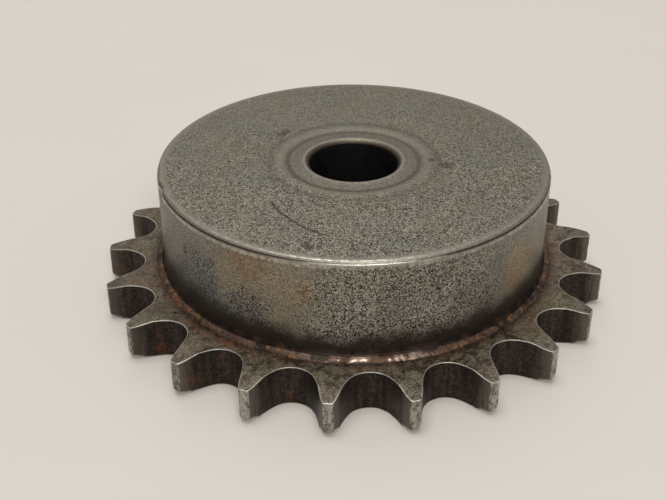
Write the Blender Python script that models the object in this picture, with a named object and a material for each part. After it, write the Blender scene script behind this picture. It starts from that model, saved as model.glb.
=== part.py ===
# Roller-chain sprocket, 21 teeth for half-inch pitch chain: a toothed plate on a turned hub whose
# spigot passes through the plate, welded to it on both sides. Metres, +Z along the bore towards the
# hub end. The origin is on the bore's axis in the plate's back face, and one tooth points along +Y.

import math

import bmesh
import bpy

MM = 0.001
INCH = 25.4 * MM

# Chain and teeth
CHAIN_PITCH = 0.5 * INCH
ROLLER_DIAMETER = 0.312 * INCH
TOOTH_COUNT = 21
CURVE_ALLOWANCE = 0.0015 * INCH      # added by the standard to each curve of the tooth form
TOPPING_RADIUS = 8.8 * MM            # a little flatter than the standard's, so the tips are broad
OUTSIDE_RADIUS = 45.8 * MM
TOOTH_ANGLE = 2 * math.pi / TOOTH_COUNT

# Plate
PLATE_THICKNESS = 0.284 * INCH
TIP_BEVEL_REACH = 3.6 * MM           # how far in from the tips each face starts to slope
TIP_BEVEL_DEPTH = 0.67 * MM          # how far each face has dropped at the tips

# Hub
HUB_RADIUS = 2.75 * INCH / 2
HUB_LENGTH = 1.0 * INCH              # plate and hub together, which is the length through the bore
HUB_EDGE_CHAMFER = 0.49 * MM
BORE_RADIUS = 0.625 * INCH / 2
BORE_CHAMFER = 0.66 * MM
SPIGOT_RADIUS = 1.0 * INCH
GROOVE_RADIUS = 11.75 * MM           # a shallow turned mark round the bore's mouth
GROOVE_WIDTH = 0.6 * MM
GROOVE_DEPTH = 0.12 * MM

# Welds
GAP = 0.3 * MM                       # clearance that separate pieces keep
FOOT_CHAMFER = 1.6 * MM              # the hub's foot is chamfered to take the front weld
FRONT_WELD_REACH = 1.35 * MM         # how far the bead stands out past the hub's wall
FRONT_WELD_RISE = 0.75 * MM          # how far it climbs above the gap over the plate
BACK_GROOVE = 2.6 * MM               # the plate's hole is chamfered to take the back weld

# Facets
SEAT_STEPS = 10
WORKING_STEPS = 2
TOPPING_STEPS = 4
PLATE_STEPS = 8 * TOOTH_COUNT
HUB_STEPS = 96
BEAD_STEPS = 5

PITCH_RADIUS = CHAIN_PITCH / (2 * math.sin(TOOTH_ANGLE / 2))
HOLE_RADIUS = SPIGOT_RADIUS + GAP
FOOT_HEIGHT = PLATE_THICKNESS + GAP


def clear_scene():
    for item in list(bpy.data.objects):
        bpy.data.objects.remove(item, do_unlink=True)


def make_material(name, colour, roughness, metallic):
    material = bpy.data.materials.new(name)
    material.use_nodes = True
    shader = material.node_tree.nodes["Principled BSDF"]
    shader.inputs["Base Color"].default_value = (*colour, 1.0)
    shader.inputs["Roughness"].default_value = roughness
    shader.inputs["Metallic"].default_value = metallic
    return material


def make_object(name, shape, material=None):
    mesh = bpy.data.meshes.new(name)
    shape.to_mesh(mesh)
    shape.free()
    item = bpy.data.objects.new(name, mesh)
    bpy.context.collection.objects.link(item)
    if material:
        mesh.materials.append(material)
    return item


def make_cutter(item):
    item.hide_render = True
    item.display_type = "WIRE"
    return item


def turn(name, profile, steps, material, smooth=True):
    """A ring turned about Z from a closed (radius, height) profile given clockwise from its top."""
    shape = bmesh.new()
    points = [shape.verts.new((radius, 0.0, height)) for radius, height in profile]
    for start, end in zip(points, points[1:] + points[:1]):
        shape.edges.new((start, end))
    item = make_object(name, shape, material)
    screw = item.modifiers.new("Turn", "SCREW")
    screw.steps = steps
    screw.render_steps = steps
    screw.use_merge_vertices = True
    screw.merge_threshold = 0.00001
    screw.use_smooth_shade = smooth
    return item


def arc(centre, radius, start, end, steps):
    """Points on an arc about a centre, from one angle to another, both ends included."""
    angles = [start + (end - start) * i / steps for i in range(steps + 1)]
    return [
        (centre[0] + radius * math.cos(a), centre[1] + radius * math.sin(a))
        for a in angles
    ]


def gap_flank():
    """One flank of a tooth gap, from the seat's lowest point out to the tip.

    Points are (across, out) from the roller's centre, on the curves of the American standard
    tooth: seating curve, working curve, a short straight and the topping curve.
    """
    roller = ROLLER_DIAMETER
    seat_angle = math.radians(35) + math.radians(60) / TOOTH_COUNT
    working_angle = math.radians(18) - math.radians(56) / TOOTH_COUNT
    straight_angle = math.radians(17) - math.radians(64) / TOOTH_COUNT
    slope = seat_angle - working_angle

    seat_radius = 0.5025 * roller + CURVE_ALLOWANCE
    flank = arc((0, 0), seat_radius, -math.pi / 2, -seat_angle, SEAT_STEPS // 2)

    centre = (-0.8 * roller * math.cos(seat_angle), 0.8 * roller * math.sin(seat_angle))
    working_radius = 1.3025 * roller + CURVE_ALLOWANCE
    flank += arc(centre, working_radius, -seat_angle, -slope, WORKING_STEPS)[1:]

    # the straight is tangent to the working curve, and the topping curve is tangent to it
    straight = roller * (1.4 * math.sin(straight_angle) - 0.8 * math.sin(working_angle))
    across = flank[-1][0] + straight * math.sin(slope) + TOPPING_RADIUS * math.cos(slope)
    out = flank[-1][1] + straight * math.cos(slope) - TOPPING_RADIUS * math.sin(slope)

    # the topping curve stops where it meets the outside circle, found on the sprocket's axis
    height = out + PITCH_RADIUS
    distance = math.hypot(across, height)
    reach = (distance**2 + TOPPING_RADIUS**2 - OUTSIDE_RADIUS**2) / (2 * distance * TOPPING_RADIUS)
    end = math.atan2(-height, -across) - math.acos(reach)
    flank += arc(
        (across, out), TOPPING_RADIUS, math.pi - slope, end % (2 * math.pi), TOPPING_STEPS
    )
    return flank


def tooth_outline():
    """The plate's whole outline, counter-clockwise, with a tooth centred on +Y."""
    right = gap_flank()
    gap = [(-across, out) for across, out in reversed(right)] + right[1:]
    outline = []
    for number in range(TOOTH_COUNT):
        middle = math.pi / 2 + TOOTH_ANGLE * (number + 0.5)
        for across, out in reversed(gap):
            radius = math.hypot(across, PITCH_RADIUS + out)
            angle = middle - math.atan2(across, PITCH_RADIUS + out)
            outline.append((radius * math.cos(angle), radius * math.sin(angle)))
        tip = middle + TOOTH_ANGLE / 2
        outline.append((OUTSIDE_RADIUS * math.cos(tip), OUTSIDE_RADIUS * math.sin(tip)))
    return outline


def make_tooth_form():
    """A tall prism of the toothed outline, which is left of the turned blank after hobbing."""
    shape = bmesh.new()
    below = -2 * MM
    corners = [shape.verts.new((x, y, below)) for x, y in tooth_outline()]
    floor = shape.faces.new(corners)
    walls = bmesh.ops.extrude_face_region(shape, geom=[floor])
    raised = [part for part in walls["geom"] if isinstance(part, bmesh.types.BMVert)]
    bmesh.ops.translate(shape, verts=raised, vec=(0, 0, PLATE_THICKNESS - 2 * below))
    bmesh.ops.recalc_face_normals(shape, faces=shape.faces)
    return make_cutter(make_object("tooth_form", shape))


def make_plate(material):
    """The plate: a turned blank with sloped rims, cut to the tooth form by a Boolean."""
    slope_start = OUTSIDE_RADIUS - TIP_BEVEL_REACH
    blank_radius = OUTSIDE_RADIUS + 2 * MM
    drop = TIP_BEVEL_DEPTH * (blank_radius - slope_start) / TIP_BEVEL_REACH
    profile = [
        (HOLE_RADIUS, PLATE_THICKNESS),
        (slope_start, PLATE_THICKNESS),
        (blank_radius, PLATE_THICKNESS - drop),
        (blank_radius, drop),
        (slope_start, 0.0),
        (HOLE_RADIUS + BACK_GROOVE, 0.0),
        (HOLE_RADIUS, BACK_GROOVE),
    ]
    plate = turn("toothed_plate", profile, PLATE_STEPS, material, smooth=False)
    teeth = plate.modifiers.new("Teeth", "BOOLEAN")
    teeth.operation = "INTERSECT"
    teeth.solver = "EXACT"
    teeth.object = make_tooth_form()
    return plate


def make_hub(material):
    """The hub: a turned disc with a spigot through the plate, bored and chamfered."""
    top = HUB_LENGTH
    groove = GROOVE_WIDTH / 2
    profile = [
        (BORE_RADIUS + BORE_CHAMFER, top),
        (GROOVE_RADIUS - groove, top),
        (GROOVE_RADIUS, top - GROOVE_DEPTH),
        (GROOVE_RADIUS + groove, top),
        (HUB_RADIUS - HUB_EDGE_CHAMFER, top),
        (HUB_RADIUS, top - HUB_EDGE_CHAMFER),
        (HUB_RADIUS, FOOT_HEIGHT + FOOT_CHAMFER),
        (HUB_RADIUS - FOOT_CHAMFER, FOOT_HEIGHT),
        (SPIGOT_RADIUS, FOOT_HEIGHT),
        (SPIGOT_RADIUS, 0.0),
        (BORE_RADIUS + BORE_CHAMFER, 0.0),
        (BORE_RADIUS, BORE_CHAMFER),
        (BORE_RADIUS, top - BORE_CHAMFER),
    ]
    return turn("hub", profile, HUB_STEPS, material)


def make_hub_weld(material):
    """The bead that fills the hub's foot chamfer and rounds out onto the plate."""
    clearance = GAP * math.sqrt(2)
    root = HUB_RADIUS - FOOT_CHAMFER + clearance
    crown = (root + FRONT_WELD_RISE, FOOT_HEIGHT + FRONT_WELD_RISE)
    toe = (HUB_RADIUS + FRONT_WELD_REACH, FOOT_HEIGHT)
    bulge = (toe[0], crown[1])
    face = []
    for i in range(BEAD_STEPS + 1):
        t = i / BEAD_STEPS
        # halfway between the straight chord and a curve drawn towards the outer corner
        curve = [
            (1 - t) ** 2 * crown[k] + 2 * t * (1 - t) * bulge[k] + t**2 * toe[k] for k in (0, 1)
        ]
        chord = [(1 - t) * crown[k] + t * toe[k] for k in (0, 1)]
        face.append(tuple((curve[k] + chord[k]) / 2 for k in (0, 1)))
    return turn("hub_weld", face + [(root, FOOT_HEIGHT)], HUB_STEPS, material)


def make_spigot_weld(material):
    """The weld that fills the plate's back chamfer round the spigot, turned flush."""
    clearance = GAP * math.sqrt(2)
    inner = SPIGOT_RADIUS + GAP
    outer = HOLE_RADIUS + BACK_GROOVE - clearance
    profile = [(inner, outer - inner), (outer, 0.0), (inner, 0.0)]
    return turn("spigot_weld", profile, HUB_STEPS, material)


def main():
    clear_scene()
    plate_steel = make_material("plate_steel", (0.16, 0.14, 0.115), 0.5, 0.85)
    hub_steel = make_material("hub_steel", (0.27, 0.26, 0.235), 0.45, 0.9)
    weld_metal = make_material("weld_metal", (0.15, 0.085, 0.05), 0.6, 0.6)
    make_plate(plate_steel)
    make_hub(hub_steel)
    make_hub_weld(weld_metal)
    make_spigot_weld(weld_metal)


main()
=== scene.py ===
# A worn sprocket for roller chain, lying on its back on a pale table with its hub up.
import math
import random

import bmesh
import bpy
from mathutils import Matrix, Vector, noise


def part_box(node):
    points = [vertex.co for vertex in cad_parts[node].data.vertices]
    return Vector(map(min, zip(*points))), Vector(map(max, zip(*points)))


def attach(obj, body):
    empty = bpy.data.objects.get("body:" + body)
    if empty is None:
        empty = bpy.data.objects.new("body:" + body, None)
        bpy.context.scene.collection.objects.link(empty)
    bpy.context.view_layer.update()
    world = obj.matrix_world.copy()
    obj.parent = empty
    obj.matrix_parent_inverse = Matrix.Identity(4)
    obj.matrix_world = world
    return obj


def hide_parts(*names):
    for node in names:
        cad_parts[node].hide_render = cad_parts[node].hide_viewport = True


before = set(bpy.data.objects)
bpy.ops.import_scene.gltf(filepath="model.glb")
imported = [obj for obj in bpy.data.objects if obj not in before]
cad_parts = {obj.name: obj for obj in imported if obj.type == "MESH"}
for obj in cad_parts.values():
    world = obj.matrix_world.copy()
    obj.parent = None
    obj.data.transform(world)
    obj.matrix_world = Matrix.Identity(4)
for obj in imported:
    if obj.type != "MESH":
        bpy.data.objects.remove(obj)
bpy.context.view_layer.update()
mm = 0.001
axisUp = Vector((0, 0, 1))


def radiusOf(point):
    return math.hypot(point.x, point.y)


def setRadius(point, radius):
    scale = radius / radiusOf(point)
    point.x *= scale
    point.y *= scale


def vertsIn(parts):
    return [part for part in parts if isinstance(part, bmesh.types.BMVert)]


def edgesIn(parts):
    return [part for part in parts if isinstance(part, bmesh.types.BMEdge)]


def everythingIn(shape):
    return [*shape.verts, *shape.edges, *shape.faces]


def wobble(point, size, seed=0.0):  # smooth noise from -1 to 1, with features about size across
    return noise.noise(point / size + Vector((seed, seed, seed)))


def spinPoint(shape, point, centre, angle, steps):  # draws an arc of edges, returns its far end
    turned = bmesh.ops.spin(shape, geom=[point], cent=centre, axis=axisUp, angle=angle, steps=steps)
    return vertsIn(turned["geom_last"])[0]


def turnProfile(shape, profile, steps):  # a ring turned from a closed (radius, height) outline
    points = [shape.verts.new((radius, 0, height)) for radius, height in profile]
    edges = [shape.edges.new(pair) for pair in zip(points, points[1:] + points[:1])]
    bmesh.ops.spin(
        shape, geom=points + edges, cent=(0, 0, 0), axis=axisUp,
        angle=2 * math.pi, steps=steps, use_merge=True,
    )
    bmesh.ops.remove_doubles(shape, verts=shape.verts, dist=0.001 * mm)
    bmesh.ops.recalc_face_normals(shape, faces=shape.faces)


def roundEdges(shape, edges, offset, segments):
    return bmesh.ops.bevel(
        shape, geom=edges, offset=offset, offset_type="OFFSET", affect="EDGES",
        segments=segments, profile=0.5, material=-1, clamp_overlap=True,
    )


def finishPiece(shape, name, materials, node, sharpAngle=40):
    mesh = bpy.data.meshes.new(name)
    shape.to_mesh(mesh)
    shape.free()
    mesh.shade_smooth()
    mesh.set_sharp_from_angle(angle=math.radians(sharpAngle))
    for material in materials:
        mesh.materials.append(material)
    piece = bpy.data.objects.new(name, mesh)
    bpy.context.scene.collection.objects.link(piece)
    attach(piece, "root")
    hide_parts(node)
    return piece


def addNode(tree, kind, inputs=None, **settings):
    item = tree.nodes.new(kind)
    for name, value in settings.items():
        setattr(item, name, value)
    for name, value in (inputs or {}).items():
        feed(tree, item.inputs[name], value)
    return item


def feed(tree, socket, value):
    if isinstance(value, bpy.types.NodeSocket):
        tree.links.new(value, socket)
    elif socket.type == "RGBA" and len(value) == 3:
        socket.default_value = (*value, 1.0)
    else:
        socket.default_value = value


def calc(tree, operation, *values):
    return addNode(tree, "ShaderNodeMath", dict(enumerate(values)), operation=operation).outputs[0]


def plus(tree, first, *others):
    for other in others:
        first = calc(tree, "ADD", first, other)
    return first


def minus(tree, first, second):
    return calc(tree, "SUBTRACT", first, second)


def times(tree, first, *others):
    for other in others:
        first = calc(tree, "MULTIPLY", first, other)
    return first


def vectorCalc(tree, operation, first, second=(0, 0, 0)):
    return addNode(tree, "ShaderNodeVectorMath", {0: first, 1: second}, operation=operation).outputs


def blend(tree, factor, first, second, how="MIX"):
    inputs = {0: factor, 6: first, 7: second}
    return addNode(tree, "ShaderNodeMix", inputs, data_type="RGBA", blend_type=how).outputs[2]


def stain(tree, colour, mask, amount, shade):
    return blend(tree, times(tree, mask, amount), colour, shade)


def fade(tree, value, low, high, start=0.0, end=1.0):  # smooth step from start at low to end at high
    inputs = {"Value": value, "From Min": low, "From Max": high, "To Min": start, "To Max": end}
    return addNode(tree, "ShaderNodeMapRange", inputs, interpolation_type="SMOOTHSTEP").outputs[0]


def cloud(tree, vector, size, detail=3.0, roughness=0.6):  # noise whose features are size metres
    scale = calc(tree, "DIVIDE", 1.0, size) if isinstance(size, bpy.types.NodeSocket) else 1 / size
    inputs = {"Vector": vector, "Scale": scale, "Detail": detail, "Roughness": roughness}
    return addNode(tree, "ShaderNodeTexNoise", inputs).outputs["Fac"]


def sway(tree, vector, size, reach):  # noise about zero
    return times(tree, minus(tree, cloud(tree, vector, size), 0.5), 2 * reach)


def startGroup(name, inputs, outputs):
    tree = bpy.data.node_groups.new(name, "ShaderNodeTree")
    for label, kind, value in inputs:
        socket = tree.interface.new_socket(label, in_out="INPUT", socket_type="NodeSocket" + kind)
        if value is not None:
            socket.default_value = value
    for label, kind in outputs:
        tree.interface.new_socket(label, in_out="OUTPUT", socket_type="NodeSocket" + kind)
    return tree, tree.nodes.new("NodeGroupInput").outputs, tree.nodes.new("NodeGroupOutput").inputs


def useGroup(tree, group, **inputs):
    item = tree.nodes.new("ShaderNodeGroup")
    item.node_tree = group
    for name, value in inputs.items():
        feed(tree, item.inputs[name], value)
    return item.outputs


def makeSpeckle():  # salt-and-pepper corrosion grain on bare steel
    tree, given, out = startGroup(
        "corrosionSpeckle",
        [("Vector", "Vector", None), ("Size", "Float", 0.0002), ("Depth", "Float", 1.0)],
        [("Tone", "Float"), ("Height", "Float")],
    )
    fine = cloud(tree, given["Vector"], given["Size"], 1.5)
    scale = calc(tree, "DIVIDE", 1.0, given["Size"])
    cells = addNode(tree, "ShaderNodeTexVoronoi", {"Vector": given["Vector"], "Scale": scale})
    crystal = addNode(tree, "ShaderNodeSeparateColor", {0: cells.outputs["Color"]}).outputs[0]
    coarse = cloud(tree, given["Vector"], times(tree, given["Size"], 3.3), 2.0, 0.5)
    mixed = plus(tree, times(tree, fine, 0.55), times(tree, crystal, 0.45))
    sharp = fade(tree, mixed, 0.30, 0.70, -0.85, 1.0)
    broad = fade(tree, coarse, 0.35, 0.65, -0.2, 0.2)
    tree.links.new(times(tree, plus(tree, sharp, broad), given["Depth"]), out["Tone"])
    tree.links.new(times(tree, sharp, given["Depth"]), out["Height"])
    return tree


def makeRust():  # brown stain breaking into orange crust
    tree, given, out = startGroup(
        "rustBloom",
        [("Vector", "Vector", None), ("Cover", "Float", 0.5), ("Size", "Float", 0.002)],
        [("Mask", "Float"), ("Colour", "Color"), ("Height", "Float")],
    )
    spread = cloud(tree, given["Vector"], given["Size"], 5.0, 0.65)
    grit = cloud(tree, given["Vector"], times(tree, given["Size"], 0.14), 2.0, 0.5)
    edge = minus(tree, 1.0, given["Cover"])
    mask = fade(tree, spread, minus(tree, edge, 0.08), plus(tree, edge, 0.08))
    hue = plus(tree, times(tree, grit, 0.7), times(tree, spread, 0.5))
    colour = blend(tree, fade(tree, hue, 0.48, 0.8), (0.026, 0.013, 0.009), (0.20, 0.068, 0.022))
    tree.links.new(mask, out["Mask"])
    tree.links.new(colour, out["Colour"])
    tree.links.new(times(tree, mask, grit), out["Height"])
    return tree


def makePatch():  # a soft ragged spot at one place on the piece
    tree, given, out = startGroup(
        "raggedPatch",
        [("Vector", "Vector", None), ("Centre", "Vector", (0, 0, 0)), ("Reach", "Float", 0.005),
         ("Ragged", "Float", 0.002)],
        [("Mask", "Float")],
    )
    apart = vectorCalc(tree, "DISTANCE", given["Vector"], given["Centre"])["Value"]
    torn = minus(tree, cloud(tree, given["Vector"], 0.0035, 4.0), 0.5)
    torn = times(tree, torn, given["Ragged"], 4.0)
    low = times(tree, given["Reach"], 0.5)
    mask = fade(tree, plus(tree, apart, torn), low, given["Reach"], 1.0, 0.0)
    tree.links.new(mask, out["Mask"])
    return tree


def makeScratch():  # a thin arc scored round a centre, about the middle of its length
    tree, given, out = startGroup(
        "scoredArc",
        [("Vector", "Vector", None), ("Centre", "Vector", (0, 0, 0)), ("Radius", "Float", 0.02),
         ("Middle", "Vector", (0, 0, 0)), ("HalfLength", "Float", 0.008), ("Width", "Float", 0.0002)],
        [("Mask", "Float")],
    )
    fromCentre = vectorCalc(tree, "DISTANCE", given["Vector"], given["Centre"])["Value"]
    fromMiddle = vectorCalc(tree, "DISTANCE", given["Vector"], given["Middle"])["Value"]
    off = minus(tree, fromCentre, given["Radius"])
    off = calc(tree, "ABSOLUTE", plus(tree, off, sway(tree, given["Vector"], 0.002, 0.00035)))
    line = fade(tree, off, times(tree, given["Width"], 0.4), given["Width"], 1.0, 0.0)
    end = given["HalfLength"]
    end = fade(tree, fromMiddle, times(tree, end, 0.8), end, 1.0, 0.0)
    tree.links.new(times(tree, line, end), out["Mask"])
    return tree


def makeTurning():  # fine circles left by a lathe tool
    tree, given, out = startGroup(
        "turnedLines",
        [("Vector", "Vector", None), ("Spacing", "Float", 0.0003)],
        [("Radius", "Float"), ("Height", "Float")],
    )
    flat = vectorCalc(tree, "MULTIPLY", given["Vector"], (1, 1, 0))[0]
    radius = vectorCalc(tree, "LENGTH", flat)["Value"]
    along = calc(tree, "DIVIDE", radius, given["Spacing"])
    inputs = {"W": along, "Scale": 1.0, "Detail": 2.0}
    lines = addNode(tree, "ShaderNodeTexNoise", inputs, noise_dimensions="1D").outputs["Fac"]
    tree.links.new(radius, out["Radius"])
    tree.links.new(lines, out["Height"])
    return tree


def makeWear():  # bare metal where edges have been rubbed, from the piece's own wear attribute
    tree, given, out = startGroup(
        "rubbedEdge",
        [("Vector", "Vector", None), ("Amount", "Float", 0.5)],
        [("Mask", "Float")],
    )
    wear = addNode(tree, "ShaderNodeAttribute", attribute_name="wear").outputs["Fac"]
    broken = minus(tree, cloud(tree, given["Vector"], 0.0009, 4.0, 0.7), 0.5)
    level = plus(tree, wear, times(tree, broken, 1.1))
    edge = minus(tree, 1.0, given["Amount"])
    mask = fade(tree, level, minus(tree, edge, 0.12), plus(tree, edge, 0.12))
    tree.links.new(mask, out["Mask"])
    return tree


speckleGroup = makeSpeckle()
rustGroup = makeRust()
patchGroup = makePatch()
scratchGroup = makeScratch()
turningGroup = makeTurning()
wearGroup = makeWear()
bareSteel = (0.42, 0.40, 0.355)
print("surface effects ready")


def startMaterial(name):
    material = bpy.data.materials.new(name)
    material.use_nodes = True
    tree = material.node_tree
    here = tree.nodes.new("ShaderNodeTexCoord").outputs["Object"]
    return material, tree, tree.nodes["Principled BSDF"], here


def finishMaterial(tree, shader, colour, roughness, metallic, height, depth):
    bump = addNode(tree, "ShaderNodeBump", {"Height": height, "Strength": 1.0, "Distance": depth})
    feed(tree, shader.inputs["Base Color"], colour)
    feed(tree, shader.inputs["Roughness"], roughness)
    feed(tree, shader.inputs["Metallic"], metallic)
    feed(tree, shader.inputs["Normal"], bump.outputs["Normal"])


def heightOf(tree, here):
    return addNode(tree, "ShaderNodeSeparateXYZ", {0: here}).outputs["Z"]


def depthOf(tree, here):
    return addNode(tree, "ShaderNodeSeparateXYZ", {0: here}).outputs["Y"]


def shadeTone(tree, colour, tone, amount):  # lighter and darker by a signed tone
    factor = calc(tree, "MAXIMUM", plus(tree, 1.0, times(tree, tone, amount)), 0.05)
    grey = addNode(tree, "ShaderNodeCombineColor", {"Red": factor, "Green": factor, "Blue": factor})
    return blend(tree, 1.0, colour, grey.outputs[0], "MULTIPLY")


def patchAt(tree, here, place, reach, ragged):  # all in millimetres
    centre = tuple(value * mm for value in place)
    found = useGroup(
        tree, patchGroup, Vector=here, Centre=centre, Reach=reach * mm, Ragged=ragged * mm
    )
    return found["Mask"]


def ringAt(tree, radius, middle, reach):  # a soft ring, middle and reach in millimetres
    off = calc(tree, "ABSOLUTE", minus(tree, radius, middle * mm))
    return fade(tree, off, 0.0, reach * mm, 1.0, 0.0)


# marks on the hub: place, reach and raggedness in millimetres, unless a note says metres
hubMarks = {
    "faceGrain": 0.15 * mm,
    "wallGrain": 0.14 * mm,
    "bruises": [((-9.4, -29.0, 25.4), 1.4), ((-9.0, -30.0, 25.4), 1.0), ((-12.9, 11.2, 25.4), 1.3),
                ((-12.0, 12.2, 25.4), 1.2), ((13.8, -1.1, 25.4), 1.1), ((16.3, -3.3, 25.4), 1.5)],
    # soft rings round the bore's mouth, pale on its turned crests and dark in its hollows: painted
    # highlight and shade; radius, reach, strength and shade
    "paintedMouthRings": [(8.95, 0.4, 0.6, (0.37, 0.34, 0.285)), (10.4, 1.1, 0.25, (0.14, 0.125, 0.10)),
                   (11.75, 0.8, 0.7, (0.085, 0.073, 0.057)), (13.3, 1.2, 0.3, (0.34, 0.315, 0.26)),
                   (15.2, 1.0, 0.35, (0.085, 0.075, 0.06))],
    # the scored arc, in metres
    "score": {"Centre": (0.00714, -0.00771, 0.0254), "Middle": (-0.0112, -0.0214, 0.0254),
              "Radius": 0.02313, "HalfLength": 0.0082, "Width": 0.00028},
    "pitted": ((6.1, -34.4, 15.0), 20.5, 2.5),
    "blued": [((-27.3, -21.8, 15.0), 7.5, 2.5), ((-19.0, -29.3, 11.5), 7.0, 2.5)],
    "brown": ((-16.5, -30.8, 20.0), 12.0, 2.0),
    # plain stains on the wall: place, reach, raggedness, strength and shade
    "wallStains": [((-34.0, -8.0, 15.0), 15.0, 3.0, 0.6, (0.135, 0.12, 0.095)),
                   ((26.0, -23.4, 16.5), 6.0, 1.5, 0.6, (0.30, 0.21, 0.11)),
                   ((30.0, -17.9, 14.0), 9.0, 2.0, 0.4, (0.23, 0.175, 0.125)),
                   ((17.0, -30.5, 14.0), 7.0, 2.5, 0.35, (0.11, 0.10, 0.085))],
    # painted shade for the crevice under the rim's chamfer
    "creviceShade": (0.045, 0.034, 0.026),
    "closing": (-0.0346, -0.0305),     # metres along Y where the crevice closes towards the front
    # weld scale with painted shade, for the wall's foot
    "sootAndShade": (0.022, 0.014, 0.010),
}


def makeHubFace():
    material, tree, shader, here = startMaterial("hubFaceSteel")
    height = heightOf(tree, here)
    upper = fade(tree, height, 0.012, 0.020)     # marks on the hub's face aren't on the spigot's end
    ring = useGroup(tree, turningGroup, Vector=here, Spacing=0.00035)
    radius = ring["Radius"]
    rim = fade(tree, radius, 0.0329, 0.0342)
    contrast = times(
        tree, fade(tree, depthOf(tree, here), 0.020, -0.020, 0.7, 1.3),
        fade(tree, radius, 0.0115, 0.0165, 0.45, 1.0),
        fade(tree, cloud(tree, here, 0.007), 0.35, 0.6, 0.7, 1.05),
        fade(tree, rim, 0.0, 1.0, 1.0, 0.4),
    )
    grain = useGroup(tree, speckleGroup, Vector=here, Size=hubMarks["faceGrain"], Depth=contrast)
    patchy = fade(tree, cloud(tree, here, 0.009), 0.35, 0.65)
    colour = blend(tree, patchy, (0.204, 0.185, 0.145), (0.198, 0.187, 0.157))
    colour = shadeTone(tree, colour, grain["Tone"], 1.0)
    colour = stain(tree, colour, rim, 0.42, (0.36, 0.335, 0.285))
    mouth = fade(tree, radius, 0.00835, 0.0087, 1.0, 0.0)
    colour = stain(tree, colour, mouth, 0.75, (0.085, 0.068, 0.05))
    # painted highlights on the mouth's crests and painted shade in its hollows
    for middle, reach, strength, shade in hubMarks["paintedMouthRings"]:
        mask = times(tree, ringAt(tree, radius, middle, reach), upper)
        colour = stain(tree, colour, mask, strength, shade)
    for place, reach in hubMarks["bruises"]:
        mask = patchAt(tree, here, place, reach, 0.5)
        colour = stain(tree, colour, mask, 0.6, (0.06, 0.05, 0.04))
    score = useGroup(tree, scratchGroup, Vector=here, **hubMarks["score"])["Mask"]
    colour = stain(tree, colour, score, 0.8, (0.04, 0.034, 0.027))
    wear = useGroup(tree, wearGroup, Vector=here, Amount=0.25)["Mask"]
    colour = blend(tree, wear, colour, bareSteel)
    # the chamfer's lowest edge is in the crevice, which closes towards the front; painted shade
    # darkens it, less so in front
    gape = fade(tree, depthOf(tree, here), *hubMarks["closing"], 0.25, 1.0)
    under = times(tree, fade(tree, height, 0.02499, 0.02507, 1.0, 0.0), upper, gape)
    colour = stain(tree, colour, under, 0.9, hubMarks["creviceShade"])
    roughness = fade(tree, wear, 0.0, 1.0, 0.46, 0.26)
    bumps = times(tree, grain["Height"], fade(tree, rim, 0.0, 1.0, 1.0, 0.6))
    bumps = plus(tree, bumps, times(tree, ring["Height"], 0.4), times(tree, score, -4.0))
    finishMaterial(tree, shader, colour, roughness, 0.9, bumps, 0.016 * mm)
    return material


def makeHubWall():
    material, tree, shader, here = startMaterial("hubWallSteel")
    height = heightOf(tree, here)
    depth = depthOf(tree, here)
    blued = calc(tree, "MAXIMUM", *(patchAt(tree, here, *patch) for patch in hubMarks["blued"]))
    pitted = calc(tree, "MAXIMUM", patchAt(tree, here, *hubMarks["pitted"]), blued)
    smoothTop = fade(tree, height, 0.0240, 0.0244)
    contrast = times(tree, fade(tree, pitted, 0.0, 1.0, 0.5, 1.5),
                     fade(tree, smoothTop, 0.0, 1.0, 1.0, 0.4))
    grain = useGroup(tree, speckleGroup, Vector=here, Size=hubMarks["wallGrain"], Depth=contrast)
    patchy = fade(tree, cloud(tree, here, 0.008), 0.35, 0.65)
    colour = blend(tree, patchy, (0.184, 0.171, 0.142), (0.208, 0.198, 0.170))
    dimmer = fade(tree, cloud(tree, here, 0.0045, 4.0), 0.52, 0.66)
    colour = stain(tree, colour, dimmer, 0.3, (0.10, 0.10, 0.085))
    brown = patchAt(tree, here, *hubMarks["brown"])
    colour = stain(tree, colour, brown, 0.75, (0.235, 0.192, 0.135))
    rusty = times(tree, brown, fade(tree, cloud(tree, here, 0.005, 4.0), 0.5, 0.62))
    colour = stain(tree, colour, rusty, 0.4, (0.21, 0.115, 0.06))
    for place, reach, ragged, strength, shade in hubMarks["wallStains"]:
        colour = stain(tree, colour, patchAt(tree, here, place, reach, ragged), strength, shade)
    colour = stain(tree, colour, blued, 0.68, (0.078, 0.078, 0.078))
    colour = shadeTone(tree, colour, grain["Tone"], 1.0)
    colour = stain(tree, colour, smoothTop, 0.4, (0.33, 0.30, 0.25))
    # weld scale and a painted reflection of the dark plate darken the foot, higher up at the sides
    # than in front
    edge = calc(tree, "MINIMUM", plus(tree, times(tree, depth, 0.1), 0.0160), 0.0141)
    above = plus(tree, minus(tree, height, edge), sway(tree, here, 0.004, 0.0022))
    foot = fade(tree, above, -0.0030, 0.0007, 1.0, 0.0)
    colour = stain(tree, colour, foot, 0.93, hubMarks["sootAndShade"])
    wear = useGroup(tree, wearGroup, Vector=here, Amount=0.3)["Mask"]
    colour = blend(tree, wear, colour, bareSteel)
    # painted shade in the crevice under the rim's chamfer, lighter in front where it closes
    low = fade(tree, depth, *hubMarks["closing"], 0.02490, 0.02473)
    deep = minus(tree, plus(tree, height, sway(tree, here, 0.0011, 0.00012)), low)
    creviceShade = times(tree, fade(tree, deep, -0.00002, 0.00006),
                    fade(tree, depth, hubMarks["closing"][0], -0.0320, 0.55, 1.0))
    colour = stain(tree, colour, creviceShade, 0.92, hubMarks["creviceShade"])
    metallic = fade(tree, foot, 0.0, 1.0, 0.9, 0.7)
    roughness = fade(tree, cloud(tree, here, 0.004), 0.3, 0.7, 0.38, 0.47)
    roughness = minus(tree, roughness, times(tree, wear, 0.15))
    finishMaterial(tree, shader, colour, roughness, metallic, grain["Height"], 0.016 * mm)
    return material


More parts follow.
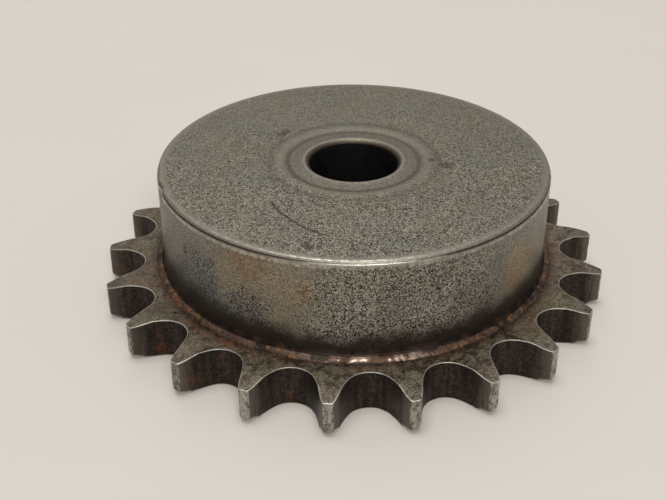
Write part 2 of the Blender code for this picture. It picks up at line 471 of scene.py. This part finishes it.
def makeBoreWall():
    material, tree, shader, here = startMaterial("boreShade")
    grain = useGroup(tree, speckleGroup, Vector=here, Size=0.0004, Depth=1.0)
    # near black: painted shade inside the bore, over a faint grain
    colour = shadeTone(tree, (0.0045, 0.004, 0.0036), grain["Tone"], 0.4)
    roughness = fade(tree, cloud(tree, here, 0.003), 0.3, 0.7, 0.5, 0.65)
    finishMaterial(tree, shader, colour, roughness, 0.6, grain["Height"], 0.02 * mm)
    return material


# marks on the plate and the weld: place, reach and raggedness in millimetres
plateMarks = {
    "grain": 0.24 * mm,
    "rust": {"Cover": 0.48, "Size": 0.0024},
    "ochre": ((-24.0, -28.5, 7.2), 16.0, 2.5),
    "gold": ((31.0, -24.0, 7.2), 9.0, 2.0),
    "rustier": ((-33.0, -19.0, 7.2), 22.0, 2.0),
    "duller": ((-38.0, -12.0, 7.2), 24.0, 3.0),
    # the teeth on the left side are darker
    "darkerLeftTeeth": ((-45.0, -9.0, 3.6), 36.0, 2.0),
}
weldMarks = {
    "rust": {"Cover": 0.46, "Size": 0.0022},
    # front of the bead: shinier metal with a painted highlight
    "lightened": ((1.0, -35.7, 8.0), 14.0, 2.0),
    "crown": (35.8, 0.75),     # the bead's highest line, radius and reach in millimetres
    # soot, and painted shade on the bead away from its crown
    "sootAndShade": (0.016, 0.011, 0.008),
}


def makePlateFace():
    material, tree, shader, here = startMaterial("plateFaceSteel")
    grain = useGroup(tree, speckleGroup, Vector=here, Size=plateMarks["grain"], Depth=1.0)
    ring = useGroup(tree, turningGroup, Vector=here, Spacing=0.0003)
    radius = ring["Radius"]
    rust = useGroup(tree, rustGroup, Vector=here, **plateMarks["rust"])
    mottle = fade(tree, cloud(tree, here, 0.0020, 5.0, 0.78), 0.46, 0.58)
    patchy = fade(tree, cloud(tree, here, 0.006), 0.35, 0.65)
    colour = blend(tree, patchy, (0.174, 0.158, 0.110), (0.190, 0.146, 0.108))
    colour = stain(tree, colour, mottle, 0.75, (0.057, 0.040, 0.028))
    slope = fade(tree, radius, 0.0420, 0.0426)
    colour = stain(tree, colour, slope, 0.35, (0.165, 0.152, 0.128))
    colour = shadeTone(tree, colour, grain["Tone"], 0.45)
    ochre = times(tree, patchAt(tree, here, *plateMarks["ochre"]), ringAt(tree, radius, 37.0, 1.4),
                  fade(tree, cloud(tree, here, 0.0013, 4.0), 0.44, 0.58))
    colour = stain(tree, colour, ochre, 0.8, (0.27, 0.165, 0.075))
    gold = times(tree, patchAt(tree, here, *plateMarks["gold"]),
                 fade(tree, cloud(tree, here, 0.002, 4.0), 0.45, 0.6))
    colour = stain(tree, colour, gold, 0.5, (0.22, 0.16, 0.06))
    darkened = fade(tree, radius, 0.0362, 0.0378, 0.75, 0.0)
    colour = stain(tree, colour, darkened, 1.0, (0.035, 0.022, 0.015))
    rustier = patchAt(tree, here, *plateMarks["rustier"])
    stained = times(tree, rust["Mask"], fade(tree, radius, 0.0368, 0.0408, 1.0, 0.08),
                    fade(tree, rustier, 0.0, 1.0, 0.5, 1.0))
    colour = blend(tree, times(tree, stained, 0.85), colour, rust["Colour"])
    duller = patchAt(tree, here, *plateMarks["duller"])
    colour = stain(tree, colour, duller, 0.22, (0.060, 0.046, 0.034))
    # light flecks in the grain: painted glints
    flecks = fade(tree, cloud(tree, here, 0.0003, 1.0), 0.70, 0.74)
    colour = stain(tree, colour, flecks, 0.7, (0.42, 0.38, 0.31))
    wear = useGroup(tree, wearGroup, Vector=here, Amount=0.3)["Mask"]
    colour = blend(tree, wear, colour, bareSteel)
    metallic = minus(tree, 0.8, times(tree, stained, 0.6))
    roughness = fade(tree, calc(tree, "MAXIMUM", wear, mottle), 0.0, 1.0, 0.50, 0.36)
    bumps = plus(tree, grain["Height"], times(tree, ring["Height"], 0.9), times(tree, stained, 1.5))
    finishMaterial(tree, shader, colour, roughness, metallic, bumps, 0.018 * mm)
    return material


def makeToothWall():
    material, tree, shader, here = startMaterial("toothWallScale")
    grain = useGroup(tree, speckleGroup, Vector=here, Size=0.0004, Depth=1.0)
    rust = useGroup(tree, rustGroup, Vector=here, Cover=0.38, Size=0.004)
    radius = useGroup(tree, turningGroup, Vector=here)["Radius"]
    tall = vectorCalc(tree, "MULTIPLY", here, (1, 1, 0.12))[0]
    streak = fade(tree, cloud(tree, tall, 0.0008), 0.35, 0.7)
    colour = blend(tree, streak, (0.020, 0.0145, 0.0115), (0.046, 0.033, 0.026))
    colour = shadeTone(tree, colour, grain["Tone"], 0.4)
    colour = stain(tree, colour, rust["Mask"], 0.35, rust["Colour"])
    # the flanks are lighter and more metallic towards the tips, less so on the left side
    lightened = fade(tree, plus(tree, radius, sway(tree, tall, 0.0006, 0.0016)), 0.0426, 0.0462)
    dimmer = patchAt(tree, here, *plateMarks["darkerLeftTeeth"])
    lightened = times(tree, lightened, fade(tree, dimmer, 0.0, 1.0, 1.0, 0.55))
    colour = stain(tree, colour, lightened, 0.68, (0.20, 0.178, 0.152))
    flecks = fade(tree, cloud(tree, here, 0.00035, 1.0), 0.70, 0.75)
    colour = stain(tree, colour, flecks, 0.5, (0.22, 0.17, 0.13))
    wear = useGroup(tree, wearGroup, Vector=here, Amount=0.28)["Mask"]
    colour = blend(tree, wear, colour, bareSteel)
    metallic = fade(tree, calc(tree, "MAXIMUM", wear, lightened), 0.0, 1.0, 0.65, 0.95)
    roughness = fade(tree, wear, 0.0, 1.0, 0.48, 0.32)
    bumps = plus(tree, grain["Height"], streak)
    finishMaterial(tree, shader, colour, roughness, metallic, bumps, 0.02 * mm)
    shader.inputs["Specular IOR Level"].default_value = 0.3
    return material


def makeTipLand():
    material, tree, shader, here = startMaterial("tipLandSteel")
    tall = vectorCalc(tree, "MULTIPLY", here, (1, 1, 0.35))[0]
    pits = fade(tree, cloud(tree, tall, 0.0005, 3.0, 0.7), 0.40, 0.56)
    streaks = vectorCalc(tree, "MULTIPLY", here, (1, 1, 0.06))[0]
    pits = times(tree, pits, fade(tree, cloud(tree, streaks, 0.0011, 2.0), 0.38, 0.56, 0.25, 1.0))
    grain = useGroup(tree, speckleGroup, Vector=here, Size=0.0003, Depth=1.0)
    colour = blend(tree, pits, (0.12, 0.106, 0.09), (0.38, 0.355, 0.315))
    # duller round the corners, towards the dark flanks
    radius = useGroup(tree, turningGroup, Vector=here)["Radius"]
    corner = fade(tree, radius, 0.04525, 0.04572, 1.0, 0.0)
    colour = stain(tree, colour, corner, 0.85, (0.115, 0.098, 0.083))
    # the tips are darker on the left side
    dimmer = patchAt(tree, here, *plateMarks["darkerLeftTeeth"])
    colour = stain(tree, colour, dimmer, 0.45, (0.10, 0.088, 0.075))
    colour = shadeTone(tree, colour, grain["Tone"], 0.3)
    wear = useGroup(tree, wearGroup, Vector=here, Amount=0.3)["Mask"]
    colour = blend(tree, wear, colour, bareSteel)
    roughness = fade(tree, pits, 0.0, 1.0, 0.52, 0.33)
    bumps = plus(tree, pits, grain["Height"])
    finishMaterial(tree, shader, colour, roughness, 0.92, bumps, 0.016 * mm)
    return material


def makeWeldMetal():
    material, tree, shader, here = startMaterial("weldBeadRust")
    grain = useGroup(tree, speckleGroup, Vector=here, Size=0.0003, Depth=1.0)
    radius = useGroup(tree, turningGroup, Vector=here)["Radius"]
    rust = useGroup(tree, rustGroup, Vector=here, **weldMarks["rust"])
    # the front of the bead is lighter, smoother and less rusty: partly shinier metal, partly a
    # painted highlight
    lightened = patchAt(tree, here, *weldMarks["lightened"])
    uneven = plus(tree, radius, sway(tree, here, 0.0014, 0.0005))
    crown = ringAt(tree, uneven, *weldMarks["crown"])
    bright = times(tree, fade(tree, cloud(tree, here, 0.0035), 0.38, 0.52),
                   fade(tree, lightened, 0.0, 1.0, 0.25, 1.0))
    colour = blend(tree, bright, (0.060, 0.038, 0.027), (0.275, 0.21, 0.17))
    colour = shadeTone(tree, colour, grain["Tone"], 0.3)
    rusted = times(tree, rust["Mask"], fade(tree, lightened, 0.0, 1.0, 0.9, 0.6))
    colour = blend(tree, rusted, colour, rust["Colour"])
    ochre = times(tree, fade(tree, cloud(tree, here, 0.0012, 4.0), 0.52, 0.62),
                  fade(tree, lightened, 0.0, 1.0, 0.8, 0.4))
    colour = stain(tree, colour, ochre, 0.8, (0.26, 0.14, 0.055))
    # soot in gaps along the bead, and painted shade darkening it away from its crown, near the wall
    # and past the toe
    darkened = fade(tree, cloud(tree, here, 0.0034, 4.0), 0.53, 0.62)
    darkened = calc(tree, "MAXIMUM", darkened, fade(tree, crown, 0.1, 0.5, 1.0, 0.0))
    colour = stain(tree, colour, darkened, 0.85, weldMarks["sootAndShade"])
    metallic = minus(tree, 0.85, times(tree, rusted, 0.6))
    smooth = minus(tree, bright, calc(tree, "MAXIMUM", rusted, darkened))
    roughness = fade(tree, smooth, 0.0, 1.0, 0.5, 0.3)
    bumps = times(tree, grain["Height"], fade(tree, smooth, 0.0, 1.0, 1.0, 0.35))
    bumps = plus(tree, bumps, times(tree, rust["Height"], 1.5))
    finishMaterial(tree, shader, colour, roughness, metallic, bumps, 0.014 * mm)
    return material


hubFaceSteel = makeHubFace()
hubWallSteel = makeHubWall()
boreShade = makeBoreWall()
plateFaceSteel = makePlateFace()
toothWallScale = makeToothWall()
tipLandSteel = makeTipLand()
weldBeadRust = makeWeldMetal()
print("materials ready")


toothedPlate = {
    "teeth": 21,
    "pitch": 12.7 * mm,
    "roller": 7.925 * mm,
    "allowance": 0.038 * mm,
    "topping": 8.8 * mm,
    "outside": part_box("toothed_plate")[1].y,
    "thickness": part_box("toothed_plate")[1].z,
    "rings": [37.4 * mm, 36.0 * mm, 28.4 * mm, 25.5 * mm],     # rows of faces in from the teeth
    "slopeReach": 3.6 * mm,
    "slopeDepth": 0.67 * mm,
    "wornBand": 0.28 * mm,
    "edgeRound": 0.08 * mm,
    "cornerRound": 0.5 * mm,     # the tips' standing corners
    "landDepth": 0.36 * mm,      # how far in from the outside the tips' end lands reach
    "rubHeight": 1.1 * mm,       # how far up the tips are worn narrower
    "rubReach": 2.2 * mm,        # and how far in from the outside
    "rubShare": 0.42,
    "rubDepth": 0.16 * mm,
    "rubLevels": [0.55 * mm, 0.85 * mm],
    "wallRows": 5,
    "unevenFrom": 38 * mm,       # the teeth's roots
    "uneven": 0.035 * mm,
}


def drawToothHalf(shape, sizes):  # from the middle of a gap on +Y, clockwise to the tooth's middle
    roller = sizes["roller"]
    share = math.pi / sizes["teeth"]
    seatAngle = math.radians(35 + 60 / sizes["teeth"])
    workingAngle = math.radians(18 - 56 / sizes["teeth"])
    straightAngle = math.radians(17 - 64 / sizes["teeth"])
    slope = seatAngle - workingAngle
    middle = Vector((0, sizes["pitch"] / (2 * math.sin(share)), 0))
    seat = 0.5025 * roller + sizes["allowance"]

    point = shape.verts.new(middle - Vector((0, seat, 0)))
    point = spinPoint(shape, point, middle, math.pi / 2 - seatAngle, 12)
    centre = middle + 0.8 * roller * Vector((-math.cos(seatAngle), math.sin(seatAngle), 0))
    point = spinPoint(shape, point, centre, workingAngle, 4)

    straight = roller * (1.4 * math.sin(straightAngle) - 0.8 * math.sin(workingAngle))
    point = vertsIn(bmesh.ops.extrude_vert_indiv(shape, verts=[point])["verts"])[0]
    point.co += straight * Vector((math.sin(slope), math.cos(slope), 0))

    # the topping curve runs into a small arc, and that into the outside circle
    centre = point.co + sizes["topping"] * Vector((math.cos(slope), -math.sin(slope), 0))
    inner = sizes["topping"] - sizes["cornerRound"]
    ring = sizes["outside"] - sizes["cornerRound"]
    reach = (centre.length**2 + inner**2 - ring**2) / (2 * centre.length * inner)
    end = (math.atan2(-centre.y, -centre.x) - math.acos(reach)) % (2 * math.pi)
    point = spinPoint(shape, point, centre, end - (math.pi - slope), 8)
    centre = centre + inner * Vector((math.cos(end), math.sin(end), 0))
    facing = math.atan2(centre.y, centre.x)
    point = spinPoint(shape, point, centre, facing - end, 6)
    spinPoint(shape, point, (0, 0, 0), math.pi / 2 - share - facing, 1)


def drawPlate(shape, sizes):  # the whole flat plate, with a tooth on +Y
    drawToothHalf(shape, sizes)
    edges = list(shape.edges)
    for radius in sizes["rings"]:
        grown = bmesh.ops.extrude_edge_only(shape, edges=edges)["geom"]
        for point in vertsIn(grown):
            setRadius(point.co, radius)
        edges = edgesIn(grown)

    # the other half of the gap, then a copy for each tooth
    share = math.pi / sizes["teeth"]
    bmesh.ops.mirror(
        shape, geom=everythingIn(shape), matrix=Matrix.Identity(4), merge_dist=0.001 * mm, axis="X"
    )
    bmesh.ops.spin(
        shape, geom=everythingIn(shape), cent=(0, 0, 0), axis=axisUp, use_duplicate=True,
        angle=2 * math.pi - 2 * share, steps=sizes["teeth"] - 1,
    )
    bmesh.ops.remove_doubles(shape, verts=shape.verts, dist=0.002 * mm)
    turn = Matrix.Rotation(share, 3, "Z")
    bmesh.ops.rotate(shape, verts=shape.verts, cent=(0, 0, 0), matrix=turn)
    bmesh.ops.recalc_face_normals(shape, faces=shape.faces)

    # a narrow band inside the outline, for the wear to fade over
    bmesh.ops.inset_region(
        shape, faces=shape.faces, thickness=sizes["wornBand"], use_boundary=True, use_even_offset=True
    )
    # a crease across each tooth where its faces start to slope
    slopeStart = sizes["outside"] - sizes["slopeReach"]
    for tooth in range(sizes["teeth"]):
        toTip = Matrix.Rotation(2 * share * tooth, 3, "Z") @ Vector((0, 1, 0))
        nearby = [face for face in shape.faces if face.calc_center_median().angle(toTip) < share]
        edges = {edge for face in nearby for edge in face.edges}
        points = {point for face in nearby for point in face.verts}
        bmesh.ops.bisect_plane(
            shape, geom=[*nearby, *edges, *points], plane_co=toTip * slopeStart, plane_no=toTip
        )


def wearTips(shape, sizes):  # the tips are worn narrower towards the table
    share = math.pi / sizes["teeth"]
    low = sizes["slopeDepth"] + sizes["rubHeight"]
    for point in shape.verts:
        outer = min(1, (radiusOf(point.co) - sizes["outside"] + sizes["rubReach"]) / (1.8 * mm))
        if outer > 0 and point.co.z < low:
            down = min(1, (low - point.co.z) / sizes["rubHeight"])
            rub = outer * (1 - math.sqrt(1 - down**2))
            angle = math.atan2(point.co.y, point.co.x)
            tooth = math.pi / 2 + 2 * share * round((angle - math.pi / 2) / (2 * share))
            radius = radiusOf(point.co) - sizes["rubDepth"] * rub
            angle = tooth + (angle - tooth) * (1 - sizes["rubShare"] * rub)
            point.co.x = radius * math.cos(angle)
            point.co.y = radius * math.sin(angle)


def buildToothedPlate(sizes):
    shape = bmesh.new()
    wear = shape.verts.layers.float.new("wear")
    drawPlate(shape, sizes)
    outside, thickness = sizes["outside"], sizes["thickness"]
    landStart = outside - sizes["landDepth"]

    lifted = bmesh.ops.extrude_face_region(shape, geom=list(shape.faces))["geom"]
    bmesh.ops.translate(shape, verts=vertsIn(lifted), vec=(0, 0, thickness))
    bmesh.ops.recalc_face_normals(shape, faces=shape.faces)
    rows = sizes["wallRows"]
    levels = [sizes["wornBand"], thickness - sizes["wornBand"], *sizes["rubLevels"]]
    levels += [thickness * (i + 1) / (rows + 1) for i in range(rows)]
    for level in levels:
        bmesh.ops.bisect_plane(
            shape, geom=everythingIn(shape), plane_co=(0, 0, level), plane_no=axisUp
        )

    # both faces slope off towards the tips
    half = thickness / 2
    slopeStart = outside - sizes["slopeReach"]
    for point in shape.verts:
        out = max(0, radiusOf(point.co) - slopeStart) / sizes["slopeReach"]
        point.co.z = half + (point.co.z - half) * (1 - out * sizes["slopeDepth"] / half)
    wearTips(shape, sizes)

    for point in shape.verts:      # the tips are bright, duller round their corners
        reach = (radiusOf(point.co) - landStart) / (0.3 * mm)
        point[wear] = 0.65 * min(1, max(0, reach))
    sharp = [edge for edge in shape.edges if edge.calc_face_angle(0) > math.radians(38)]
    for point in roundEdges(shape, sharp, sizes["edgeRound"], 3)["verts"]:
        if radiusOf(point.co) > 30 * mm:
            point[wear] = 1.0

    for face in shape.faces:
        if abs(face.normal.z) > 0.3:
            face.material_index = 0
        elif radiusOf(face.calc_center_median()) > landStart:
            face.material_index = 2
        else:
            face.material_index = 1
    # edges are a little uneven from years of running
    for point in shape.verts:
        if radiusOf(point.co) > sizes["unevenFrom"]:
            point.co += point.normal * sizes["uneven"] * wobble(point.co, 1.6 * mm)
    return shape


toothedPlatePiece = finishPiece(
    buildToothedPlate(toothedPlate), "toothedPlate",
    [plateFaceSteel, toothWallScale, tipLandSteel], "toothed_plate",
)
print("toothed plate:", len(toothedPlatePiece.data.polygons), "faces")


hub = {
    "radius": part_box("hub")[1].x,
    "top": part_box("hub")[1].z,
    "spigot": 25.4 * mm,
    "foot": toothedPlate["thickness"] + 0.05 * mm,
    "bore": 7.9375 * mm,
    "boreChamfer": 0.66 * mm,
    "rimChamfer": 0.49 * mm,
    "browRound": 0.2 * mm,
    "edgeRound": 0.055 * mm,
    # the crevice under the rim's chamfer: millimetres in from the wall, down from the face
    "chamferEnd": (0.12, 0.37),
    "notch": (0.22, 0.45),
    "lip": (0.0, 0.57),
    "notchDepth": 0.22 * mm,
    "lipDrop": 0.11 * mm,
    "dent": {"angle": 194, "reach": 2.2 * mm, "depth": 0.45 * mm},
    "steps": 480,
    # rows of points across the face and down the wall, in millimetres
    "faceRings": (20, 26, 31, 32.6, 33.7),
    "wallRows": (24.5, 24.1, 23, 18, 13, 10, 8.4),
    # rings round the bore's mouth: radius, height over the face, in millimetres
    "mouth": [(8.62, -0.03), (8.95, 0.03), (9.35, -0.08), (10.3, -0.11), (11.2, -0.13),
              (11.55, -0.18), (11.8, -0.17), (12.15, -0.08), (12.6, 0.03), (13.1, 0.08),
              (13.9, 0.08), (14.6, 0.03), (15.1, -0.04), (15.6, 0.0)],
}


def buildHub(sizes):
    shape = bmesh.new()
    wear = shape.verts.layers.float.new("wear")
    top, radius, bore = sizes["top"], sizes["radius"], sizes["bore"]
    chamfer, rim = sizes["boreChamfer"], sizes["rimChamfer"]
    creviceRings = [
        (radius - inward * mm, top - down * mm)
        for inward, down in (sizes["chamferEnd"], sizes["notch"], sizes["lip"])
    ]
    chamferEnd, notch, lip = creviceRings
    profile = [(bore, chamfer), (bore, 8 * mm), (bore, 16 * mm), (bore, top - chamfer)]
    profile += [(ring * mm, top + height * mm) for ring, height in sizes["mouth"]]
    profile += [(ring * mm, top) for ring in sizes["faceRings"]]
    profile += [(radius - rim, top), *creviceRings]
    profile += [(radius, height * mm) for height in sizes["wallRows"]]
    profile += [(radius, sizes["foot"]), (sizes["spigot"], sizes["foot"])]
    profile += [(sizes["spigot"], 0), (bore + chamfer, 0)]
    turnProfile(shape, profile, sizes["steps"])

    def onRing(edge, place):
        return all(
            abs(radiusOf(point.co) - place[0]) < 0.02 * mm and abs(point.co.z - place[1]) < 0.02 * mm
            for point in edge.verts
        )

    brow = [edge for edge in shape.edges if onRing(edge, (radius - rim, top))]
    roundEdges(shape, brow, sizes["browRound"], 3)
    corners = [chamferEnd, lip, (bore, top - chamfer), (bore, chamfer), (sizes["spigot"], 0),
               (bore + chamfer, 0)]
    sharp = [edge for edge in shape.edges if any(onRing(edge, corner) for corner in corners)]
    roundEdges(shape, sharp, sizes["edgeRound"], 2)
    for face in shape.faces:
        middle = face.calc_center_median()
        if radiusOf(middle) < bore + 0.1 * mm:
            face.material_index = 2
        elif middle.z > chamferEnd[1] - 0.03 * mm or middle.z < 1 * mm:
            face.material_index = 0
        else:
            face.material_index = 1

    # the crevice closes towards the front, where its lower lip has been rubbed bright
    dent = sizes["dent"]
    dentAt = Matrix.Rotation(math.radians(dent["angle"]), 3, "Z") @ Vector((radius, 0, lip[1]))
    for point in shape.verts:
        if radiusOf(point.co) > 34 * mm and point.co.z > 24 * mm:
            gape = min(1, max(0, (point.co.y + 34.6 * mm) / (4 * mm)))
            onNotch = abs(point.co.z - notch[1]) < 0.02 * mm
            onLip = abs(point.co.z - lip[1]) < 0.06 * mm
            point.co += point.normal * 0.02 * mm * wobble(point.co, 1.5 * mm, 3.0)
            if onNotch:
                uneven = 1 + 0.6 * wobble(point.co, 2 * mm)
                deep = sizes["notchDepth"] * (0.45 + 0.55 * gape) * uneven
                setRadius(point.co, radius - deep)
            if onLip:
                point[wear] = 1 - 0.9 * gape
                uneven = 1 + 0.7 * wobble(point.co, 1.3 * mm, 5.0)
                point.co.z -= sizes["lipDrop"] * gape * uneven
            elif abs(point.co.z - chamferEnd[1]) < 0.08 * mm:
                point[wear] = 0.45
            elif radiusOf(point.co) > radius - rim - 0.22 * mm:      # the brow of the chamfer
                point[wear] = 0.7
            near = max(0, 1 - (point.co - dentAt).length / dent["reach"])
            setRadius(point.co, radiusOf(point.co) - dent["depth"] * near)
    return shape


hubPiece = finishPiece(
    buildHub(hub), "turnedHub", [hubFaceSteel, hubWallSteel, boreShade], "hub"
)
print("hub:", len(hubPiece.data.polygons), "faces")


hubWeld = {
    "toe": 36.35 * mm,
    "steps": 720,
    # the bead's outline from wall to toe: millimetres out from the wall, up from the plate
    "section": [(0.02, 1.55), (0.06, 1.25), (0.1, 0.98), (0.14, 0.8), (0.22, 0.72), (0.34, 0.78),
                (0.5, 0.82), (0.68, 0.78), (0.86, 0.68), (1.02, 0.54), (1.16, 0.38), (1.28, 0.21),
                (1.38, 0.05)],
    "root": 0.4 * mm,        # how far the bead reaches into the wall, out of sight
    "ripple": 1.25 * mm,     # from one ripple to the next
    "rippleDepth": 0.013 * mm,
    "droplets": 34,
    "dropletSizes": (0.07, 0.2),     # millimetres, as the next line
    "dropletRing": (36.7, 38.3),
}


def buildHubWeld(sizes):
    shape = bmesh.new()
    wall, floor = hub["radius"], toothedPlate["thickness"]
    reach = sizes["toe"] - wall
    root = wall - sizes["root"]
    profile = [(root, floor - 0.2 * mm), (root, floor + 1.5 * mm)]
    profile += [(wall + out * mm, floor + up * mm) for out, up in sizes["section"]]
    profile.append((sizes["toe"] + 0.2 * mm, floor - 0.2 * mm))
    turnProfile(shape, profile, sizes["steps"])
    for point in shape.verts:
        proud = radiusOf(point.co) - wall
        if proud > 0.2 * mm and point.co.z > floor:
            along = math.atan2(point.co.y, point.co.x) * sizes["toe"]
            bent = along - 1.4 * proud**2 / reach      # ripples curve back towards the toe
            lift = sizes["rippleDepth"] * math.sin(2 * math.pi * bent / sizes["ripple"])
            lift += 0.05 * mm * wobble(point.co, 3.5 * mm) + 0.012 * mm * wobble(point.co, 0.9 * mm)
            point.co += point.normal * lift

    # spatter thrown on the plate, most of it to one side
    chance = random.Random(5)
    for _ in range(sizes["droplets"]):
        sector = (-172, -100) if chance.random() < 0.7 else (-100, 170)
        angle = math.radians(chance.uniform(*sector))
        reach = chance.uniform(*sizes["dropletRing"]) * mm
        centre = Matrix.Translation((reach * math.cos(angle), reach * math.sin(angle), floor))
        bmesh.ops.create_icosphere(
            shape, subdivisions=2, radius=chance.uniform(*sizes["dropletSizes"]) * mm, matrix=centre
        )
    return shape


hubWeldPiece = finishPiece(
    buildHubWeld(hubWeld), "hubWeldBead", [weldBeadRust], "hub_weld"
)
print("hub weld:", len(hubWeldPiece.data.polygons), "faces")


# the weld round the spigot, turned flush with the plate's back
spigotWeld = {
    "inner": 25.35 * mm,
    "outer": 28.5 * mm,
    "depth": 2.0 * mm,
    "sunk": 0.05 * mm,
    "rows": 6,
    "steps": 360,
}


def buildSpigotWeld(sizes):
    shape = bmesh.new()
    sunk, rows = sizes["sunk"], sizes["rows"]
    span = sizes["outer"] - sizes["inner"]
    profile = [(sizes["inner"], sunk + sizes["depth"]), (sizes["outer"], sunk)]
    profile += [(sizes["outer"] - span * (i + 1) / rows, sunk) for i in range(rows)]
    turnProfile(shape, profile, sizes["steps"])
    for point in shape.verts:
        if point.co.z < sunk + 0.1 * mm:
            point.co.z += 0.03 * mm * (1 + wobble(point.co, 1.4 * mm, 7.0))
    return shape


spigotWeldPiece = finishPiece(
    buildSpigotWeld(spigotWeld), "spigotWeldRing", [weldBeadRust], "spigot_weld"
)
print("spigot weld:", len(spigotWeldPiece.data.polygons), "faces")


studio = {
    "tableReach": 3.0,
    "paper": ((0.675, 0.645, 0.596), (0.685, 0.655, 0.606)),
    # painted shade: the paper's colour towards the front
    "nearPaperShade": (0.605, 0.577, 0.532),
    "worldColour": (1.0, 0.97, 0.92),
    "worldStrength": 0.36,
    # panels: place, width, height, watts and colour
    "panels": {
        "ceilingPanel": ((-0.05, 0.0, 0.9), 0.45, 0.45, 3.9, (1.0, 0.98, 0.95)),
        "backPanel": ((-0.06, 0.8, 0.9), 0.8, 0.6, 1.5, (1.0, 0.97, 0.93)),
        "windowPanel": ((0.05, -0.6, 0.5), 0.28, 0.16, 2.6, (1.0, 0.98, 0.96)),
    },
    # the camera's place and aim in millimetres, its roll in degrees
    "cameraPlace": (-12.37, -177.94, 114.52),
    "cameraAim": (-3.73, 0.18, 6.43),
    "cameraRoll": -0.17,
    "lens": 59.99,
}


def makeTable():
    shape = bmesh.new()
    bmesh.ops.create_grid(shape, x_segments=1, y_segments=1, size=studio["tableReach"])
    bmesh.ops.translate(shape, verts=shape.verts, vec=(0, 0, -0.03 * mm))
    mesh = bpy.data.meshes.new("paleTable")
    shape.to_mesh(mesh)
    shape.free()
    material, tree, shader, here = startMaterial("palePaper")
    smudge = fade(tree, cloud(tree, here, 0.06, 4.0), 0.4, 0.6)
    colour = blend(tree, smudge, *studio["paper"])
    # painted shade: the paper is darker towards the front, where the light falls off
    nearerShade = fade(tree, depthOf(tree, here), -0.10, 0.25, 1.0, 0.0)
    colour = stain(tree, colour, nearerShade, 1.0, studio["nearPaperShade"])
    fibre = cloud(tree, here, 0.0006, 3.0)
    finishMaterial(tree, shader, colour, 0.6, 0.0, fibre, 0.01 * mm)
    shader.inputs["Specular IOR Level"].default_value = 0.2
    mesh.materials.append(material)
    table = bpy.data.objects.new("paleTable", mesh)
    bpy.context.scene.collection.objects.link(table)


def addPanel(name, place, width, height, power, colour):  # an area light aimed at the hub
    light = bpy.data.lights.new(name, "AREA")
    light.shape = "RECTANGLE"
    light.size = width
    light.size_y = height
    light.energy = power
    light.color = colour
    lamp = bpy.data.objects.new(name, light)
    lamp.location = place
    lamp.rotation_euler = (Vector((0, 0, 0.01)) - lamp.location).to_track_quat("-Z", "Y").to_euler()
    bpy.context.scene.collection.objects.link(lamp)


def makeLight():
    world = bpy.data.worlds.new("roomLight")
    world.use_nodes = True
    background = world.node_tree.nodes["Background"]
    feed(world.node_tree, background.inputs["Color"], studio["worldColour"])
    feed(world.node_tree, background.inputs["Strength"], studio["worldStrength"])
    bpy.context.scene.world = world
    for name, settings in studio["panels"].items():
        addPanel(name, *settings)


def makeCamera():
    place = Vector(studio["cameraPlace"]) * mm
    aim = Vector(studio["cameraAim"]) * mm
    lens = bpy.data.cameras.new("benchCamera")
    lens.lens = studio["lens"]
    lens.sensor_width = 36.0
    lens.clip_start = 0.01
    camera = bpy.data.objects.new("benchCamera", lens)
    tilt = Matrix.Rotation(math.radians(studio["cameraRoll"]), 4, "Z")
    facing = (aim - place).to_track_quat("-Z", "Y").to_matrix().to_4x4()
    camera.matrix_world = Matrix.Translation(place) @ facing @ tilt
    bpy.context.scene.collection.objects.link(camera)
    bpy.context.scene.camera = camera


makeTable()
makeLight()
makeCamera()
bpy.context.scene.view_settings.view_transform = "Standard"
print("table, light and camera ready")
